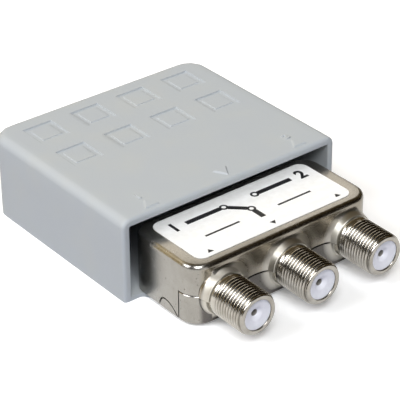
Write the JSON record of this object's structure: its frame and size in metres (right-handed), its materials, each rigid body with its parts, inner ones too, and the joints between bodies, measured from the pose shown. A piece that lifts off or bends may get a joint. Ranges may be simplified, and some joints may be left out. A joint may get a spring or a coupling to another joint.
{
  "type": "satellite switch",
  "caption": "Outdoor satellite switch: a tinned metal module with threaded coaxial ports that slides in and out of a grey moulded weather cover.",
  "frame": {"origin": "middle of the cover's mouth, on the plane of its back wall", "axes": "+Z out of the back wall towards the cover's top, +Y into the cover, ports along -Y, +X to the right seen from the ports"},
  "size_m": [0.0572, 0.0784, 0.0199],
  "materials": {
    "cover_plastic": "moulded, satin, light grey",
    "can_metal": "tinned sheet steel, handled",
    "lid_metal": "tinned sheet steel, handled",
    "label_film": "white printed film",
    "port_plating": "nickel plated, bright",
    "insulator_plastic": "moulded, white",
    "contact_metal": "plated spring bronze",
    "board_laminate": "green solder mask",
    "solder": "bright solder",
    "chip_moulding": "moulded epoxy, black",
    "ceramic": "fired ceramic",
    "ferrite": "sintered ferrite"
  },
  "bodies": {
    "cover": {"weather_cover": "cover_plastic"},
    "switch_module": {"upper_shell": "can_metal", "bottom_lid": "lid_metal", "face_label": "label_film", "barrel_left": "port_plating", "barrel_centre": "port_plating", "barrel_right": "port_plating", "insulator_left": "insulator_plastic", "insulator_centre": "insulator_plastic", "insulator_right": "insulator_plastic", "rear_bead_left": "insulator_plastic", "rear_bead_centre": "insulator_plastic", "rear_bead_right": "insulator_plastic", "contact_left": "contact_metal", "contact_centre": "contact_metal", "contact_right": "contact_metal", "circuit_board": "board_laminate", "board_solder": "solder", "contact_solder": "solder", "control_chip": "chip_moulding", "voltage_regulator": "chip_moulding", "resonator": "ceramic", "surge_diodes": "chip_moulding", "rf_chokes": "ferrite", "pin_diodes": "chip_moulding", "switch_transistors": "chip_moulding", "chip_capacitors": "ceramic", "chip_resistors": "chip_moulding"}
  },
  "joints": [
    {"name": "module_slide", "type": "slide", "parent": "cover", "child": "switch_module", "axis": [0, 1, 0], "range_m": [-0.0165, 0.0424]}
  ]
}
